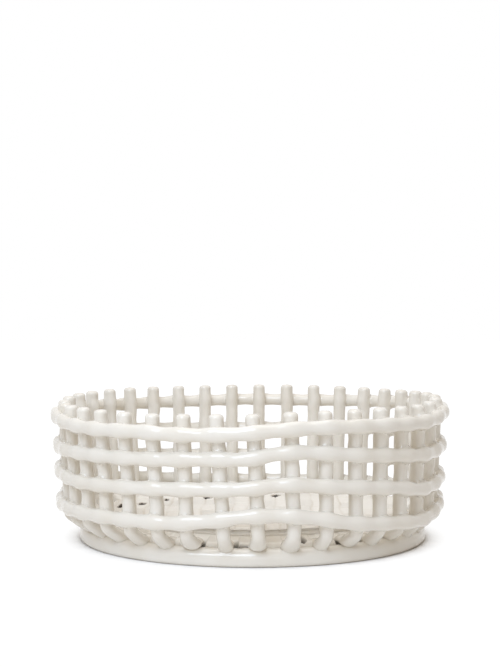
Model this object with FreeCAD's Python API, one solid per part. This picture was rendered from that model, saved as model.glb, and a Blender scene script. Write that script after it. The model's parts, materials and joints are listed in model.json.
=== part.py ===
"""Woven stoneware centrepiece: an open round basket built from rolled clay coils.

A foot ring carries a floor disc and a scored floor pad. Thirty-seven clay posts stand on the
shoulder of the foot ring, each on a knee that is pressed flat there. Four hoops of clay coil lie
round the outside of the posts and are pressed on to each of them, one above the other. The coils
were laid by hand, so every hoop wanders up and down and no two posts end at the same height.

Millimetres, +Z up. The origin is on the table, on the axis of the wall. Angles are degrees seen
from above, counted from the front, which is -Y, towards +X.
"""

import FreeCAD
import Part
import math
import os

os.makedirs("parts", exist_ok=True)

# Foot ring, whose axis stands a little to the right of the wall's
foot_radius = 144.0
foot_width = 24.0
foot_height = 13.5
foot_shoulder = 7.5
foot_land = 0.7
foot_edge = 2.2
foot_shift = 2.3

# Floor disc in the foot ring, and the pad of scored clay on it
floor_gap = 3.6
floor_thickness = 9.5
floor_proud = 4.0
floor_edge = 5.0
floor_scallop = 2.2
pad_inset = 12.0
pad_thickness = 3.0
pad_edge_width = 2.4
pad_edge_drop = 1.6
pad_wander = 2.0

# Wall of posts
post_count = 37
post_sides = 8
front_post_degrees = 1.2
post_width = 10.5
post_height = 116.0
wall_outset = 6.1
wall_flare = 4.1
wall_foot_rise = 10.5
tip_flat_width = 6.6
tip_shoulder_width = 9.4
tip_shoulder_drop = 0.9
tip_drop = 2.6

# Knees at the lower ends of the posts, placed from the edge and top of the foot
knee_width = 13.8
knee_depth = 9.6
knee_inset = 4.2
knee_rise = 1.8
knee_lean_degrees = 62.0
bend_width = 11.8
bend_bulge = 1.4
bend_lean_degrees = 42.0
tail_width = 12.4
tail_depth = 7.6
tail_inset = 7.4
tail_rise = 1.6
tail_lean_degrees = 86.0
end_width = 9.0
end_depth = 4.4
end_inset = 9.4

# Hoops, the rim one placed from the tips and the base one from the foot of the wall
hoop_sides = 8
hoop_depth = 9.4
hoop_height = 10.4
hoop_height_on_post = 12.2
hoop_dip = 0.6
hoop_cover = 6.2
rim_hoop_cover = 7.0
rim_hoop_drop = 14.0
base_hoop_rise = 8.0

# How far the handmade lines wander from their mean heights
hoop_wander = 10.0
tip_wander = 10.0

# Where the lists below give a value, in degrees from the front
wave_degrees = [0, 10, 20, 30, 45, 60, 80, 100, 130, 160, 180, 200, 230, 260, 280, 300, 315, 330, 340, 350]

# Height of each line over its mean, as shares of its wander
rim_rise_shares = [
    -0.01, 0.23, 0.32, 0.28, 0.18, 0.11, 0.41, 0.35, 0.18, -0.07,
    -0.07, -0.16, -0.13, 0.05, 0.07, -0.15, -0.19, -0.12, -0.20, -0.16,
]
upper_rise_shares = [
    0.43, 0.88, 0.73, 0.47, 0.15, -0.15, 0.02, -0.05, 0.03, -0.27,
    -0.40, -0.37, 0.01, 0.08, -0.05, 0.05, 0.10, 0.18, 0.27, 0.38,
]
lower_rise_shares = [
    0.56, 0.83, 0.59, 0.37, 0.01, -0.53, -0.25, -0.30, -0.23, -0.48,
    -0.57, -0.49, 0.09, 0.34, 0.26, 0.09, 0.18, 0.32, 0.40, 0.46,
]
base_rise_shares = [
    0.83, 0.85, 0.50, -0.02, -0.36, -0.63, -0.12, 0.08, -0.20, -0.53,
    -0.60, -0.45, 0.33, 0.24, -0.04, 0.02, 0.09, 0.14, 0.20, 0.49,
]
tip_rise_shares = [
    -0.02, 0.10, 0.15, 0.17, 0.16, 0.07, 0.25, 0.21, 0.04, 0.03,
    0.00, -0.03, 0.04, 0.01, -0.17, -0.12, -0.12, -0.14, -0.09, -0.04,
]

# Sideways drift of the posts at knee and at tip, as shares of the step from post to post
knee_drift_shares = [
    0.12, 0.15, 0.17, 0.18, 0.06, 0.12, 0.06, 0.03, 0.03, 0.03,
    0.03, 0.03, 0.00, 0.02, 0.02, 0.06, 0.06, 0.08, -0.01, 0.10,
]
tip_drift_shares = [
    -0.05, 0.03, 0.04, 0.01, -0.06, -0.13, -0.03, 0.26, 0.02, 0.04,
    0.05, 0.00, 0.02, -0.04, -0.03, -0.04, -0.04, -0.02, -0.03, -0.08,
]

shoulder_steps = 3
edge_steps = 2
full_turn = 360.0
post_step = full_turn / post_count
uneven_step_degrees = 137.5
uneven_dip_share = 0.25
uneven_knee_share = 0.12
flat_share = 1e-6

# Places that follow from the sizes
foot_inner_radius = foot_radius - foot_width
ledge_radius = foot_radius - foot_shoulder - foot_land
floor_height = foot_height + floor_proud
ledge_height = floor_height - floor_thickness
floor_radius = ledge_radius - floor_gap
pad_radius = floor_radius - pad_inset
pad_height = floor_height + pad_thickness
wall_foot_radius = foot_radius + wall_outset
wall_top_radius = wall_foot_radius + wall_flare
wall_foot_height = foot_height + wall_foot_rise
rim_hoop_height = post_height - rim_hoop_drop
base_hoop_height = wall_foot_height + base_hoop_rise
hoop_step = (rim_hoop_height - base_hoop_height) / 3
upper_hoop_height = base_hoop_height + 2 * hoop_step
lower_hoop_height = base_hoop_height + hoop_step


def polar(radius, degrees, height):
    """Point at a radius from the wall's axis, an angle from the front and a height."""
    angle = math.radians(degrees)
    return FreeCAD.Vector(radius * math.sin(angle), -radius * math.cos(angle), height)


def degrees_of(point):
    """Angle of a point from the front."""
    return math.degrees(math.atan2(point.x, -point.y))


def wave(shares, degrees):
    """Smooth value at an angle of a list that is given at wave_degrees and closes on itself."""
    degrees = degrees % full_turn
    count = len(wave_degrees)
    at = max(index for index in range(count) if wave_degrees[index] <= degrees)

    def knot(index):
        turns, place = divmod(index, count)
        return wave_degrees[place] + turns * full_turn, shares[place]

    (x0, y0), (x1, y1), (x2, y2), (x3, y3) = [knot(at + step) for step in (-1, 0, 1, 2)]
    part = (degrees - x1) / (x2 - x1)
    rise = y2 - y1
    slope_1 = (y2 - y0) / (x2 - x0) * (x2 - x1)
    slope_2 = (y3 - y1) / (x3 - x1) * (x2 - x1)
    square = 3 * rise - 2 * slope_1 - slope_2
    cubic = slope_1 + slope_2 - 2 * rise
    return y1 + part * (slope_1 + part * (square + part * cubic))


def uneven(number):
    """A value from -1 to 1 that seems to follow no rule from one number to the next."""
    return math.sin(math.radians(uneven_step_degrees * number))


def closed_line(corners):
    return Part.makePolygon(corners + corners[:1])


def is_flat(corners):
    """True where the fourth corner lies in the plane of the other three."""
    first, second, third, fourth = corners
    normal = (second - first).cross(third - first)
    return abs(normal.dot(fourth - first)) <= flat_share * normal.Length * (fourth - first).Length


def band(near, far):
    """Flat facets between two sections, four-cornered where they can be and halved elsewhere."""
    faces = []
    for index in range(len(near)):
        after = (index + 1) % len(near)
        corners = [near[index], near[after], far[after], far[index]]
        if is_flat(corners):
            faces.append(Part.Face(closed_line(corners)))
        else:
            faces.append(Part.Face(closed_line(corners[:3])))
            faces.append(Part.Face(closed_line([corners[0], corners[2], corners[3]])))
    return faces


def coil(sections, closed):
    """Solid through sections with as many corners each, joined end to end or with flat ends."""
    followers = sections[1:]
    if closed:
        followers = followers + sections[:1]
    faces = []
    for near, far in zip(sections, followers):
        faces.extend(band(near, far))
    if not closed:
        faces.append(Part.Face(closed_line(sections[0])))
        faces.append(Part.Face(closed_line(sections[-1])))
    solid = Part.Solid(Part.Shell(faces)).removeSplitter()
    if solid.Volume < 0:
        solid.reverse()
    return solid


def corner_shares(sides):
    """Corners of a coil's section whose flats lie one half width from its middle."""
    reach = 1 / math.cos(math.pi / sides)
    angles = [2 * math.pi * (side + 0.5) / sides for side in range(sides)]
    return [(reach * math.cos(angle), reach * math.sin(angle)) for angle in angles]


class Post:
    """One post of the wall: where it stands, how it leans and the flat that faces outwards."""

    def __init__(self, number):
        plain = front_post_degrees + post_step * number
        self.number = number
        self.knee_degrees = plain + post_step * wave(knee_drift_shares, plain)
        self.tip_degrees = plain + post_step * wave(tip_drift_shares, plain)
        middle_degrees = (self.knee_degrees + self.tip_degrees) / 2
        self.outward = polar(1, middle_degrees, 0)
        self.sideways = polar(1, middle_degrees + full_turn / 4, 0)
        self.foot = polar(wall_foot_radius, self.knee_degrees, wall_foot_height)
        height = post_height + tip_wander * wave(tip_rise_shares, plain)
        self.top = polar(wall_top_radius, self.tip_degrees, height)

    def middle(self, height):
        """Point on the middle line of the straight stretch."""
        share = (height - self.foot.z) / (self.top.z - self.foot.z)
        return self.foot + (self.top - self.foot) * share

    def outer_edge(self, side, height):
        """Point on the left (-1) or right (1) edge of the flat that faces outwards."""
        half_flat = post_width / 2 * math.tan(math.pi / post_sides)
        return self.middle(height) + self.outward * (post_width / 2) + self.sideways * (side * half_flat)

    def section(self, middle, width, depth, lean_degrees):
        """Section across the post where its line leans inwards by an angle from straight down."""
        lean = math.radians(lean_degrees)
        across = self.outward * math.cos(lean) + FreeCAD.Vector(0, 0, -math.sin(lean))
        points = []
        for deep, wide in corner_shares(post_sides):
            points.append(middle + across * (deep * depth / 2) + self.sideways * (wide * width / 2))
        return points

    def solid(self):
        """The rolled post with its domed tip, and its knee pressed on the foot's shoulder."""
        seat = foot_radius + foot_shift * math.sin(math.radians(self.knee_degrees))
        breadth = 1 + uneven_knee_share * uneven(self.number)
        knee_radius = seat - knee_inset
        knee_height = foot_height + knee_rise
        bend_radius = (wall_foot_radius + knee_radius) / 2 + bend_bulge
        bend_height = (wall_foot_height + knee_height) / 2
        knee = polar(knee_radius, self.knee_degrees, knee_height)
        bend = polar(bend_radius, self.knee_degrees, bend_height)
        tail = polar(seat - tail_inset, self.knee_degrees, foot_height + tail_rise)
        end = polar(seat - end_inset, self.knee_degrees, foot_height + tail_rise)
        shoulder = self.middle(self.top.z - tip_shoulder_drop)
        neck = self.middle(self.top.z - tip_drop)
        sections = [
            self.section(self.top, tip_flat_width, tip_flat_width, 0),
            self.section(shoulder, tip_shoulder_width, tip_shoulder_width, 0),
            self.section(neck, post_width, post_width, 0),
            self.section(self.foot, post_width, post_width, 0),
            self.section(bend, bend_width * breadth, knee_depth, bend_lean_degrees),
            self.section(knee, knee_width * breadth, knee_depth, knee_lean_degrees),
            self.section(tail, tail_width * breadth, tail_depth, tail_lean_degrees),
            self.section(end, end_width * breadth, end_depth, tail_lean_degrees),
        ]
        return coil(sections, False).cut(foot_stretch(knee)).Solids[0]


def pressed_section(post, side, height, rise_shares, cover):
    """Hoop section at an edge of a post's flat: its inner side lies on the post."""
    level = height + hoop_wander * wave(rise_shares, degrees_of(post.outer_edge(side, height)))
    points = []
    for deep, high in corner_shares(hoop_sides):
        edge = post.outer_edge(side, level + high * hoop_height_on_post / 2)
        points.append(edge + post.outward * (cover * (1 + deep) / 2))
    return points


def free_section(post, after, height, rise_shares, cover):
    """Hoop section half way to the next post, where the coil sinks in a little and is rounder."""
    start = post.outer_edge(1, height) + post.outward * cover
    end = after.outer_edge(-1, height) + after.outward * cover
    degrees = degrees_of(start + end)
    outer_radius = math.hypot(start.x + end.x, start.y + end.y) / 2
    dip = hoop_dip * (1 + uneven_dip_share * uneven(post.number))
    middle_radius = outer_radius - dip - hoop_depth / 2
    level = height + hoop_wander * wave(rise_shares, degrees)
    points = []
    for deep, high in corner_shares(hoop_sides):
        points.append(polar(middle_radius + deep * hoop_depth / 2, degrees, level + high * hoop_height / 2))
    return points


def hoop(posts, height, rise_shares, cover):
    """A closed clay coil round the wall, pressed on to every post."""
    sections = []
    for post, after in zip(posts, posts[1:] + posts[:1]):
        sections.append(pressed_section(post, -1, height, rise_shares, cover))
        sections.append(pressed_section(post, 1, height, rise_shares, cover))
        sections.append(free_section(post, after, height, rise_shares, cover))
    return coil(sections, True)


def foot_point(radius, number, height):
    """Point round the foot's own axis, whose half sections stand half a post step apart."""
    return FreeCAD.Vector(foot_shift, 0, 0) + polar(radius, front_post_degrees + post_step * number / 2, height)


def rounded(radius, height, edge, steps):
    """Radius and height of points on a quarter round, from its side to its top."""
    points = []
    for step in range(steps + 1):
        angle = math.radians(full_turn / 4 * step / steps)
        points.append((radius - edge * (1 - math.cos(angle)), height - edge * (1 - math.sin(angle))))
    return points


def foot_section(number):
    """Half section of the foot ring: flat underneath, round outside, with a ledge inside."""
    profile = [(foot_inner_radius, 0), (foot_radius - foot_edge, 0), (foot_radius, foot_edge)]
    profile += rounded(foot_radius, foot_height, foot_shoulder, shoulder_steps)
    profile += [(ledge_radius, foot_height), (ledge_radius, ledge_height), (foot_inner_radius, ledge_height)]
    return [foot_point(radius, number, height) for radius, height in profile]


def foot_ring():
    """The heavy ring that stands on the table and carries the posts and the floor."""
    return coil([foot_section(number) for number in range(2 * post_count)], True)


def foot_stretch(seat):
    """The stretch of the foot ring under a knee, to cut its seat with."""
    degrees = degrees_of(seat - FreeCAD.Vector(foot_shift, 0, 0))
    nearest = round(2 * (degrees - front_post_degrees) / post_step)
    return coil([foot_section(nearest + step) for step in (-2, -1, 0, 1, 2)], False)


def scalloped_line(radius, height):
    """A line of corners round the foot's axis, drawn in behind each post and out between two posts."""
    points = []
    for number in range(2 * post_count):
        points.append(foot_point(radius - floor_scallop * (1 - number % 2), number, height))
    return points


def floor_disc():
    """The thick floor that lies on the foot ring's ledge, with a soft scalloped edge."""
    sections = [scalloped_line(floor_radius, ledge_height)]
    for radius, height in rounded(floor_radius, floor_height, floor_edge, edge_steps):
        sections.append(scalloped_line(radius, height))
    return coil(sections, False)


def wandering_line(radius, height):
    """A line of corners round the foot's axis whose radius follows no rule."""
    return [foot_point(radius + pad_wander * uneven(number), number, height) for number in range(2 * post_count)]


def floor_pad():
    """The mat of clay patches that is smeared on to the floor, with a worn edge."""
    sections = [
        wandering_line(pad_radius, floor_height),
        wandering_line(pad_radius, pad_height - pad_edge_drop),
        wandering_line(pad_radius - pad_edge_width, pad_height),
    ]
    return coil(sections, False)


posts = [Post(number) for number in range(post_count)]
nodes = {
    "foot_ring": foot_ring(),
    "floor_disc": floor_disc(),
    "floor_pad": floor_pad(),
    "rim_hoop": hoop(posts, rim_hoop_height, rim_rise_shares, rim_hoop_cover),
    "upper_hoop": hoop(posts, upper_hoop_height, upper_rise_shares, hoop_cover),
    "lower_hoop": hoop(posts, lower_hoop_height, lower_rise_shares, hoop_cover),
    "base_hoop": hoop(posts, base_hoop_height, base_rise_shares, hoop_cover),
}
for post in posts:
    nodes[f"post_{post.number + 1:02d}"] = post.solid()

for name, shape in nodes.items():
    shape.exportStep(f"parts/{name}.step")

volume = sum(shape.Volume for shape in nodes.values())
print(len(nodes), "pieces,", round(volume), "cubic millimetres of clay")
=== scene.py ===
# %% [markdown]
# # A woven centrepiece of glazed clay coils
# The real basket is rolled and pressed together by hand. Thirty-seven clay posts stand on a heavy foot
# ring, four hoops of clay coil are pressed on to the outside of the posts, and a warm white glaze runs over
# everything and pools where two coils touch. The construction model already holds every piece at its real
# size, so this lesson only dresses it: each piece is read from the frame, rounded, made a little uneven
# and glazed. Everything is in metres, and the front of the basket faces -Y.

# %% Load the frame
import bpy
import bmesh
import json
import math
import numpy as np
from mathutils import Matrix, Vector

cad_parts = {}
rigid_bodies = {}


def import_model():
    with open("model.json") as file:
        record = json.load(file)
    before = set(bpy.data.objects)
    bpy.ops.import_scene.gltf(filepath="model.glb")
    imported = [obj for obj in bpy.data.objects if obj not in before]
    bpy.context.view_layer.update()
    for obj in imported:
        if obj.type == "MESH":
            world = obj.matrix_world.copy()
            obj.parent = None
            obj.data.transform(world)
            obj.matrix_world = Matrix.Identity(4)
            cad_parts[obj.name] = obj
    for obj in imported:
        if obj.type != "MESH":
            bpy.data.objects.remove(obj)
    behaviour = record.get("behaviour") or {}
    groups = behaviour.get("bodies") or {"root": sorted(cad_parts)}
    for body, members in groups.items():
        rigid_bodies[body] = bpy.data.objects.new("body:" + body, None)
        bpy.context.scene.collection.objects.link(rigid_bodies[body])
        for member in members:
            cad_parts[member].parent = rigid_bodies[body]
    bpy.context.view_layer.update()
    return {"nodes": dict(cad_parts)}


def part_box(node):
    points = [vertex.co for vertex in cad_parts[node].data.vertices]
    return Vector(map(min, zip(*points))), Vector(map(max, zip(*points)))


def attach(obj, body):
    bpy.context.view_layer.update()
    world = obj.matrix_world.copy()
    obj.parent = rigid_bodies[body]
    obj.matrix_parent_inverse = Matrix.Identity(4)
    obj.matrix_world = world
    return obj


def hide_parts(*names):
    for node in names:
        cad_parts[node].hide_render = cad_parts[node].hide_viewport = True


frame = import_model()
MM = 0.001
print("frame:", len(frame["nodes"]), "pieces in the construction model")

# %% [markdown]
# The camera comes first, because every comparison with the photograph depends on it. A photograph that is
# 667 pixels tall and whose focal length is 1470 pixels is one taken with a long lens, from a little above
# the rim. Blender wants that as millimetres on a 36 mm sensor, measured along the longer side.

# %% The camera
PHOTO_HEIGHT_PIXELS = 667
FOCAL_PIXELS = 1469.76
SENSOR_MM = 36.0
CAMERA_PLACE = (0.0, -1226.67 * MM, 212.17 * MM)
CAMERA_PITCH_DOWN = math.radians(2.011)


def new_object(name, data):
    thing = bpy.data.objects.new(name, data)
    bpy.context.scene.collection.objects.link(thing)
    return thing


camera_data = bpy.data.cameras.new("camera")
camera_data.sensor_width = SENSOR_MM
camera_data.lens = SENSOR_MM * FOCAL_PIXELS / PHOTO_HEIGHT_PIXELS
camera = new_object("camera", camera_data)
camera.location = CAMERA_PLACE
camera.rotation_euler = (math.pi / 2 - CAMERA_PITCH_DOWN, 0, 0)
bpy.context.scene.camera = camera
bpy.context.scene.view_settings.view_transform = "Standard"
print("camera: lens", round(camera_data.lens, 2), "mm")

# %% [markdown]
# Materials and Geometry Nodes are both built from nodes, so the script needs a few small helpers that
# keep the trees readable. One makes a node and feeds its inputs. Others do arithmetic, in the tree that
# their sockets belong to, or carry a number from one range to another, and one starts a new tree.

# %% Helpers for node trees
def feed(socket, value):
    """Links a socket to another, or gives it a plain value."""
    if isinstance(value, bpy.types.NodeSocket):
        socket.id_data.links.new(value, socket)
    else:
        socket.default_value = value


def add_node(tree, kind, inputs=None, **settings):
    """A new node with its settings, and its inputs fed by name."""
    node = tree.nodes.new(kind)
    for name, value in settings.items():
        setattr(node, name, value)
    for name, value in (inputs or {}).items():
        feed(node.inputs[name], value)
    return node


def result(tree, kind, inputs=None, **settings):
    """The first output of a new node."""
    return add_node(tree, kind, inputs, **settings).outputs[0]


def arithmetic(kind, operation, values):
    tree = next(value.id_data for value in values if isinstance(value, bpy.types.NodeSocket))
    node = add_node(tree, kind, operation=operation)
    for socket, value in zip([socket for socket in node.inputs if socket.enabled], values):
        feed(socket, value)
    return next(socket for socket in node.outputs if socket.enabled)


def maths(operation, *values):
    """The result of a Math node."""
    return arithmetic("ShaderNodeMath", operation, values)


def vectors(operation, *values):
    """The result of a Vector Math node, which is a plain number for a dot product or a length."""
    return arithmetic("ShaderNodeVectorMath", operation, values)


def plus(first, second):
    return maths("ADD", first, second)


def minus(first, second):
    return maths("SUBTRACT", first, second)


def times(first, *others):
    for other in others:
        first = maths("MULTIPLY", first, other)
    return first


def ranged(value, low, high, to_low=0.0, to_high=1.0, kind="LINEAR"):
    """A number carried from one range to another, and held at its ends."""
    inputs = {"Value": value, "From Min": low, "From Max": high, "To Min": to_low, "To Max": to_high}
    return result(value.id_data, "ShaderNodeMapRange", inputs, interpolation_type=kind)


def new_tree(name, kind, inputs, outputs):
    """An empty node group, and the sockets of its inside. An input gives its first number, or its kind."""
    tree = bpy.data.node_groups.new(name, kind)
    for label, value in inputs.items():
        what = {float: "Float", int: "Int"}.get(type(value), value)
        socket = tree.interface.new_socket(label, in_out="INPUT", socket_type="NodeSocket" + what)
        if what != value:
            socket.default_value = value
    for label, what in outputs.items():
        tree.interface.new_socket(label, in_out="OUTPUT", socket_type="NodeSocket" + what)
    return tree, tree.nodes.new("NodeGroupInput").outputs, tree.nodes.new("NodeGroupOutput").inputs


def group_node(tree, group, inputs):
    """The outputs of a node group that is placed in another tree."""
    node = add_node(tree, tree.bl_idname.replace("Tree", "Group"), node_tree=group)
    for name, value in inputs.items():
        feed(node.inputs[name], value)
    return node.outputs


print("helpers: ready")

# %% [markdown]
# Two things happen to every hand-worked surface here. The clay keeps the soft lumps that fingers leave,
# a few tenths of a millimetre high and about as wide as a fingertip. This is a small group of its own, so
# that the coils, the foot and the floor can all use it. It moves each point along its normal by a noise.
# The lumps fade out near the table, because the foot stands on it.

# %% Geometry nodes: finger lumps
LUMP_INPUTS = {"Lump Size": 14 * MM, "Lump Height": 0.3 * MM, "Seed": 0.0}
LUMP_DETAIL = 1.5
LUMP_FADE_HEIGHT = 6 * MM
RIGHT = (1.0, 0.0, 0.0)
UP = (0.0, 0.0, 1.0)


def pushed(tree, geometry, normal, distance):
    """A piece whose points are moved along their normals."""
    inputs = {"Geometry": geometry, "Offset": vectors("SCALE", normal, distance)}
    return result(tree, "GeometryNodeSetPosition", inputs)


def lumps_tree():
    tree, inside, outside = new_tree(
        "Finger lumps", "GeometryNodeTree", {"Clay": "Geometry", **LUMP_INPUTS}, {"Clay": "Geometry"}
    )
    place = result(tree, "GeometryNodeInputPosition")
    normal = result(tree, "GeometryNodeInputNormal")
    scale = maths("DIVIDE", 1.0, inside["Lump Size"])
    inputs = {"Vector": place, "W": inside["Seed"], "Scale": scale, "Detail": LUMP_DETAIL}
    noise = result(tree, "ShaderNodeTexNoise", inputs, noise_dimensions="4D")
    fade = ranged(vectors("DOT_PRODUCT", place, UP), 0.0, LUMP_FADE_HEIGHT)
    size = times(minus(noise, 0.5), 2.0, inside["Lump Height"], fade)
    feed(outside["Clay"], pushed(tree, inside["Clay"], normal, size))
    return tree


LUMPS = lumps_tree()
print("tree:", LUMPS.name, len(LUMPS.nodes), "nodes")

# %% [markdown]
# Every post and every hoop is one rolled coil, so one tree makes them all. It is given a bare line of
# points. Each point carries two arrows, half the coil's width and half its depth, which the tree blends
# smoothly from point to point. It sweeps a circle along the line and then puts every point of the circle
# on its own oval. A sweep with a bevel would be quicker to make, but it can't flatten a coil one way and
# not the other. Open ends are closed in a dome, whose rings lie closer together towards the tip.

# %% Geometry nodes: a clay coil along a line
DOME_FULLNESS = 0.62
MERGE_DISTANCE = 0.01 * MM


def arrow(tree, name, factor):
    """A vector that each point carries under a name, times a number."""
    node = result(tree, "GeometryNodeInputNamedAttribute", {"Name": name}, data_type="FLOAT_VECTOR")
    return vectors("SCALE", node, factor)


def captured(tree, geometry, values):
    """The outputs of a node that keeps some vectors for each point of a curve, as they are at that point."""
    node = add_node(tree, "GeometryNodeCaptureAttribute", {"Geometry": geometry}, domain="POINT")
    for label, value in values.items():
        node.capture_items.new("VECTOR", label)
        feed(node.inputs[label], value)
    return node.outputs


def coil_tree():
    inputs = {"Line": "Geometry", "Sides": 32, "Step": 0.9 * MM, "Dome": 0.0, **LUMP_INPUTS}
    tree, inside, outside = new_tree("Clay coil", "GeometryNodeTree", inputs, {"Coil": "Geometry"})
    dome = inside["Dome"]
    line = result(tree, "GeometryNodeMeshToCurve", {"Mesh": inside["Line"]})
    soft = result(tree, "GeometryNodeCurveSplineType", {"Curve": line}, spline_type="CATMULL_ROM")
    even = result(tree, "GeometryNodeResampleCurve", {"Curve": soft, "Length": inside["Step"]}, mode="LENGTH")
    along = add_node(tree, "GeometryNodeSplineParameter").outputs["Length"]
    total = add_node(tree, "GeometryNodeSplineLength").outputs["Length"]
    to_end = maths("MINIMUM", along, minus(total, along))
    turn = times(maths("MINIMUM", maths("DIVIDE", to_end, dome), 1.0), math.pi / 2)
    fullness = maths("POWER", maths("SINE", turn), DOME_FULLNESS)
    depth = times(dome, minus(1.0, maths("COSINE", turn)))
    domed = maths("GREATER_THAN", dome, 0.0)
    scale = plus(times(domed, fullness), minus(1.0, domed))
    in_dome = times(domed, maths("LESS_THAN", to_end, dome))
    towards = maths("SIGN", minus(times(along, 2.0), total))
    shift = times(in_dome, minus(to_end, depth), towards)
    place = result(tree, "GeometryNodeInputPosition")
    centre = vectors("ADD", place, vectors("SCALE", result(tree, "GeometryNodeInputTangent"), shift))
    wide, deep = arrow(tree, "wide", scale), arrow(tree, "deep", scale)
    rail = captured(tree, even, {"Centre": centre, "Wide": wide, "Deep": deep})
    circle = result(tree, "GeometryNodeCurvePrimitiveCircle", {"Resolution": inside["Sides"], "Radius": 1.0})
    profile = captured(tree, circle, {"Round": place})
    curves = {"Curve": rail["Geometry"], "Profile Curve": profile["Geometry"]}
    swept = result(tree, "GeometryNodeCurveToMesh", curves)
    split = add_node(tree, "ShaderNodeSeparateXYZ", {"Vector": profile["Round"]}).outputs
    sides = [vectors("SCALE", rail[label], split[axis]) for label, axis in (("Wide", "X"), ("Deep", "Y"))]
    surface = vectors("ADD", rail["Centre"], vectors("ADD", *sides))
    rounded = result(tree, "GeometryNodeSetPosition", {"Geometry": swept, "Position": surface})
    closed = result(tree, "GeometryNodeMergeByDistance", {"Geometry": rounded, "Distance": MERGE_DISTANCE})
    lumpy = group_node(tree, LUMPS, {"Clay": closed, **{label: inside[label] for label in LUMP_INPUTS}})
    feed(outside["Coil"], lumpy[0])
    return tree


COIL = coil_tree()
print("tree:", COIL.name, len(COIL.nodes), "nodes")

# %% [markdown]
# In the kiln the glaze melts and runs into the corner where two coils touch, so there is no sharp line
# between a post and a hoop. A boolean union with a bevel would be fragile on so many crossings, and would
# fuse pieces that stay separate here. Instead each piece grows towards its neighbours. A point at a
# distance d from the neighbour moves out along its own normal, by the height that a soft blend of the two
# surfaces would have there. Both pieces meet in the same hollow curve. On the basket's right-hand side the
# maker also smeared the joints with a thumb, so the reach can grow towards +X. How far a point has moved is
# kept as the attribute pool, which the glaze reads as its thickness.

# %% Geometry nodes: glaze that pools where pieces touch
SMEAR_FROM = 85 * MM
SMEAR_TO = 140 * MM
SMALLEST_BEND = 0.02
BURIED_DEPTH = 1.5 * MM


def pooling_tree():
    inputs = {"Piece": "Geometry", "Neighbours": "Collection", "Reach": 1.8 * MM, "Smear": 0.0}
    inputs["Material"] = "Material"
    tree, inside, outside = new_tree("Pooled glaze", "GeometryNodeTree", inputs, {"Piece": "Geometry"})
    others = result(tree, "GeometryNodeCollectionInfo", {"Collection": inside["Neighbours"]})
    solid = result(tree, "GeometryNodeRealizeInstances", {"Geometry": others})
    place = result(tree, "GeometryNodeInputPosition")
    normal = result(tree, "GeometryNodeInputNormal")
    side = ranged(vectors("DOT_PRODUCT", place, RIGHT), SMEAR_FROM, SMEAR_TO, kind="SMOOTHSTEP")
    reach = times(inside["Reach"], plus(times(side, inside["Smear"]), 1.0))
    nearest = []
    for value in (place, normal):
        inputs = {"Mesh": solid, "Value": value}
        nearest.append(result(tree, "GeometryNodeSampleNearestSurface", inputs, data_type="FLOAT_VECTOR"))
    apart = vectors("SUBTRACT", place, nearest[0])
    gap = times(vectors("LENGTH", apart), maths("SIGN", vectors("DOT_PRODUCT", apart, nearest[1])))
    bend = maths("MAXIMUM", minus(1.0, vectors("DOT_PRODUCT", normal, nearest[1])), SMALLEST_BEND)
    near = maths("MAXIMUM", minus(reach, maths("MAXIMUM", gap, 0.0)), 0.0)
    pull = times(bend, near, 2.0)
    middle = minus(times(reach, 4.0), pull)
    under_root = minus(times(middle, middle), maths("POWER", pull, 2.0))
    root = maths("SQRT", maths("MAXIMUM", under_root, 0.0))
    open_rise = maths("DIVIDE", times(near, near, 2.0), maths("MAXIMUM", plus(middle, root), MERGE_DISTANCE))
    shut_rise = maths("DIVIDE", middle, times(bend, bend, 2.0))
    rise = times(maths("MINIMUM", open_rise, shut_rise), ranged(gap, -BURIED_DEPTH, 0.0))
    kept = result(
        tree,
        "GeometryNodeStoreNamedAttribute",
        {"Geometry": inside["Piece"], "Name": "pool", "Value": maths("DIVIDE", rise, reach)},
        data_type="FLOAT",
        domain="POINT",
    )
    smooth = result(tree, "GeometryNodeSetShadeSmooth", {"Geometry": pushed(tree, kept, normal, rise)})
    real = result(tree, "GeometryNodeRealizeInstances", {"Geometry": smooth})
    glazed = result(tree, "GeometryNodeSetMaterial", {"Geometry": real, "Material": inside["Material"]})
    feed(outside["Piece"], glazed)
    return tree


POOLING = pooling_tree()
print("tree:", POOLING.name, len(POOLING.nodes), "nodes")

# %% [markdown]
# A tree does nothing until a modifier runs it. The modifier's inputs are set by the identifier of each
# socket, before Blender first looks at the object. The result is then copied to a plain mesh and the
# modifier goes, because the finished piece has to be a mesh of its own.

# %% Run a tree and keep its result
def run_tree(thing, tree, values):
    modifier = thing.modifiers.new(tree.name, "NODES")
    modifier.node_group = tree
    for item in tree.interface.items_tree:
        if item.item_type == "SOCKET" and item.in_out == "INPUT" and item.name in values:
            modifier[item.identifier] = values[item.name]


def settle(things):
    """Turns the modifiers of some objects into plain meshes, with their faces outwards."""
    graph = bpy.context.evaluated_depsgraph_get()
    meshes = []
    for thing in things:
        seen = thing.evaluated_get(graph)
        meshes.append(bpy.data.meshes.new_from_object(seen, preserve_all_data_layers=True, depsgraph=graph))
    for thing, mesh in zip(things, meshes):
        thing.modifiers.clear()
        thing.data = mesh
        mesh.name = thing.name
        if volume(mesh) < 0:
            mesh.flip_normals()


def places_of(mesh):
    """The places of a mesh's points, one row each."""
    places = np.empty(len(mesh.vertices) * 3)
    mesh.vertices.foreach_get("co", places)
    return places.reshape(-1, 3)


def volume(mesh):
    """Volume inside a closed mesh, which is negative where its faces point inwards."""
    mesh.calc_loop_triangles()
    triangles = np.empty(len(mesh.loop_triangles) * 3, dtype=int)
    mesh.loop_triangles.foreach_get("vertices", triangles)
    first, second, third = places_of(mesh)[triangles.reshape(-1, 3)].transpose(1, 0, 2)
    return float(np.einsum("ij,ij->i", first, np.cross(second, third)).sum() / 6)


print("helpers: trees can run")

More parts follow.
